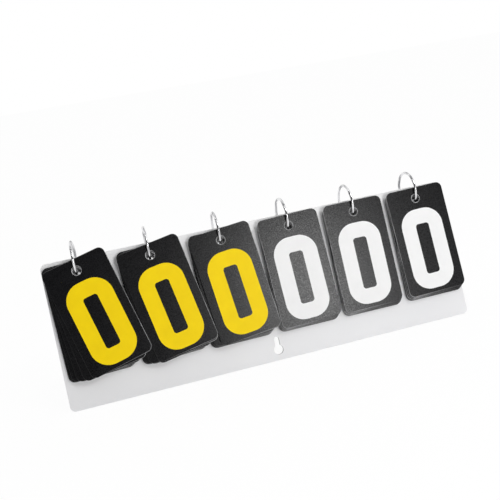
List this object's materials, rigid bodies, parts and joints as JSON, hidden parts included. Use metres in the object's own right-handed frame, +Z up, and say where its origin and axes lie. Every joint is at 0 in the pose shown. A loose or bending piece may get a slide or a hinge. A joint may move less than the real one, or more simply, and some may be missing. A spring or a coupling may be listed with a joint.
{
  "type": "tabletop scoreboard",
  "caption": "Tabletop flip scoreboard: two white plates stand as a tent, and packs of black number cards hang from chrome rings and flip over the top.",
  "frame": {"origin": "middle of the whole object, on the surface that it stands on", "axes": "+X to the right along the plates as the score is read, +Y towards the back, +Z up; the fronts of the cards face -Y"},
  "size_m": [0.3908, 0.0854, 0.1414],
  "materials": {
    "white_plate": "smooth white PVC sheet, faint satin",
    "black_card": "black PVC sheet with a fine grain and a satin sheen, printed digits",
    "chrome_wire": "bright nickel plated steel wire",
    "yellow_print": "yellow printed digits of the home side",
    "white_print": "white printed digits of the guest side"
  },
  "bodies": {
    "front_frame": {"front_plate": "white_plate", "home_hundreds_cards_8_9": "black_card", "home_hundreds_cards_6_7": "black_card", "home_hundreds_cards_4_5": "black_card", "home_hundreds_cards_2_3": "black_card", "home_hundreds_ring_base": "chrome_wire", "home_hundreds_ring_rivet": "chrome_wire", "home_tens_cards_8_9": "black_card", "home_tens_cards_6_7": "black_card", "home_tens_cards_4_5": "black_card", "home_tens_cards_2_3": "black_card", "home_tens_ring_base": "chrome_wire", "home_tens_ring_rivet": "chrome_wire", "home_ones_cards_8_9": "black_card", "home_ones_cards_6_7": "black_card", "home_ones_cards_4_5": "black_card", "home_ones_cards_2_3": "black_card", "home_ones_ring_base": "chrome_wire", "home_ones_ring_rivet": "chrome_wire", "guest_hundreds_cards_8_9": "black_card", "guest_hundreds_cards_6_7": "black_card", "guest_hundreds_cards_4_5": "black_card", "guest_hundreds_cards_2_3": "black_card", "guest_hundreds_ring_base": "chrome_wire", "guest_hundreds_ring_rivet": "chrome_wire", "guest_tens_cards_8_9": "black_card", "guest_tens_cards_6_7": "black_card", "guest_tens_cards_4_5": "black_card", "guest_tens_cards_2_3": "black_card", "guest_tens_ring_base": "chrome_wire", "guest_tens_ring_rivet": "chrome_wire", "guest_ones_cards_8_9": "black_card", "guest_ones_cards_6_7": "black_card", "guest_ones_cards_4_5": "black_card", "guest_ones_cards_2_3": "black_card", "guest_ones_ring_base": "chrome_wire", "guest_ones_ring_rivet": "chrome_wire"},
    "rear_plate": {"rear_plate": "white_plate"},
    "home_hundreds_card_1": {"home_hundreds_card_1": "black_card"},
    "home_hundreds_card_0": {"home_hundreds_card_0": "black_card"},
    "home_hundreds_ring_gate": {"home_hundreds_ring_gate": "chrome_wire"},
    "home_tens_card_1": {"home_tens_card_1": "black_card"},
    "home_tens_card_0": {"home_tens_card_0": "black_card"},
    "home_tens_ring_gate": {"home_tens_ring_gate": "chrome_wire"},
    "home_ones_card_1": {"home_ones_card_1": "black_card"},
    "home_ones_card_0": {"home_ones_card_0": "black_card"},
    "home_ones_ring_gate": {"home_ones_ring_gate": "chrome_wire"},
    "guest_hundreds_card_1": {"guest_hundreds_card_1": "black_card"},
    "guest_hundreds_card_0": {"guest_hundreds_card_0": "black_card"},
    "guest_hundreds_ring_gate": {"guest_hundreds_ring_gate": "chrome_wire"},
    "guest_tens_card_1": {"guest_tens_card_1": "black_card"},
    "guest_tens_card_0": {"guest_tens_card_0": "black_card"},
    "guest_tens_ring_gate": {"guest_tens_ring_gate": "chrome_wire"},
    "guest_ones_card_1": {"guest_ones_card_1": "black_card"},
    "guest_ones_card_0": {"guest_ones_card_0": "black_card"},
    "guest_ones_ring_gate": {"guest_ones_ring_gate": "chrome_wire"}
  },
  "joints": [
    {"name": "easel_fold", "type": "hinge", "parent": "front_frame", "child": "rear_plate", "pos_m": [-0.00044, 0.00468, 0.12382], "axis": [-1, 0, 0], "range_deg": [0, 36]},
    {"name": "home_hundreds_card_1_flip", "type": "hinge", "parent": "front_frame", "child": "home_hundreds_card_1", "pos_m": [-0.16369, 0.00468, 0.12382], "axis": [-1, 0, 0], "range_deg": [0, 200]},
    {"name": "home_hundreds_card_0_flip", "type": "hinge", "parent": "home_hundreds_card_1", "child": "home_hundreds_card_0", "pos_m": [-0.16369, 0.00468, 0.12382], "axis": [-1, 0, 0], "range_deg": [0, 200]},
    {"name": "home_hundreds_ring_open", "type": "hinge", "parent": "front_frame", "child": "home_hundreds_ring_gate", "pos_m": [-0.16369, 0.01572, 0.11156], "axis": [1, 0, 0], "range_deg": [-70, 0]},
    {"name": "home_tens_card_1_flip", "type": "hinge", "parent": "front_frame", "child": "home_tens_card_1", "pos_m": [-0.09819, 0.00468, 0.12382], "axis": [-1, 0, 0], "range_deg": [0, 200]},
    {"name": "home_tens_card_0_flip", "type": "hinge", "parent": "home_tens_card_1", "child": "home_tens_card_0", "pos_m": [-0.09819, 0.00468, 0.12382], "axis": [-1, 0, 0], "range_deg": [0, 200]},
    {"name": "home_tens_ring_open", "type": "hinge", "parent": "front_frame", "child": "home_tens_ring_gate", "pos_m": [-0.09819, 0.01572, 0.11156], "axis": [1, 0, 0], "range_deg": [-70, 0]},
    {"name": "home_ones_card_1_flip", "type": "hinge", "parent": "front_frame", "child": "home_ones_card_1", "pos_m": [-0.03269, 0.00468, 0.12382], "axis": [-1, 0, 0], "range_deg": [0, 200]},
    {"name": "home_ones_card_0_flip", "type": "hinge", "parent": "home_ones_card_1", "child": "home_ones_card_0", "pos_m": [-0.03269, 0.00468, 0.12382], "axis": [-1, 0, 0], "range_deg": [0, 200]},
    {"name": "home_ones_ring_open", "type": "hinge", "parent": "front_frame", "child": "home_ones_ring_gate", "pos_m": [-0.03269, 0.01572, 0.11156], "axis": [1, 0, 0], "range_deg": [-70, 0]},
    {"name": "guest_hundreds_card_1_flip", "type": "hinge", "parent": "front_frame", "child": "guest_hundreds_card_1", "pos_m": [0.03281, 0.00468, 0.12382], "axis": [-1, 0, 0], "range_deg": [0, 200]},
    {"name": "guest_hundreds_card_0_flip", "type": "hinge", "parent": "guest_hundreds_card_1", "child": "guest_hundreds_card_0", "pos_m": [0.03281, 0.00468, 0.12382], "axis": [-1, 0, 0], "range_deg": [0, 200]},
    {"name": "guest_hundreds_ring_open", "type": "hinge", "parent": "front_frame", "child": "guest_hundreds_ring_gate", "pos_m": [0.03281, 0.01572, 0.11156], "axis": [1, 0, 0], "range_deg": [-70, 0]},
    {"name": "guest_tens_card_1_flip", "type": "hinge", "parent": "front_frame", "child": "guest_tens_card_1", "pos_m": [0.09831, 0.00468, 0.12382], "axis": [-1, 0, 0], "range_deg": [0, 200]},
    {"name": "guest_tens_card_0_flip", "type": "hinge", "parent": "guest_tens_card_1", "child": "guest_tens_card_0", "pos_m": [0.09831, 0.00468, 0.12382], "axis": [-1, 0, 0], "range_deg": [0, 200]},
    {"name": "guest_tens_ring_open", "type": "hinge", "parent": "front_frame", "child": "guest_tens_ring_gate", "pos_m": [0.09831, 0.01572, 0.11156], "axis": [1, 0, 0], "range_deg": [-70, 0]},
    {"name": "guest_ones_card_1_flip", "type": "hinge", "parent": "front_frame", "child": "guest_ones_card_1", "pos_m": [0.16381, 0.00468, 0.12382], "axis": [-1, 0, 0], "range_deg": [0, 200]},
    {"name": "guest_ones_card_0_flip", "type": "hinge", "parent": "guest_ones_card_1", "child": "guest_ones_card_0", "pos_m": [0.16381, 0.00468, 0.12382], "axis": [-1, 0, 0], "range_deg": [0, 200]},
    {"name": "guest_ones_ring_open", "type": "hinge", "parent": "front_frame", "child": "guest_ones_ring_gate", "pos_m": [0.16381, 0.01572, 0.11156], "axis": [1, 0, 0], "range_deg": [-70, 0]}
  ]
}
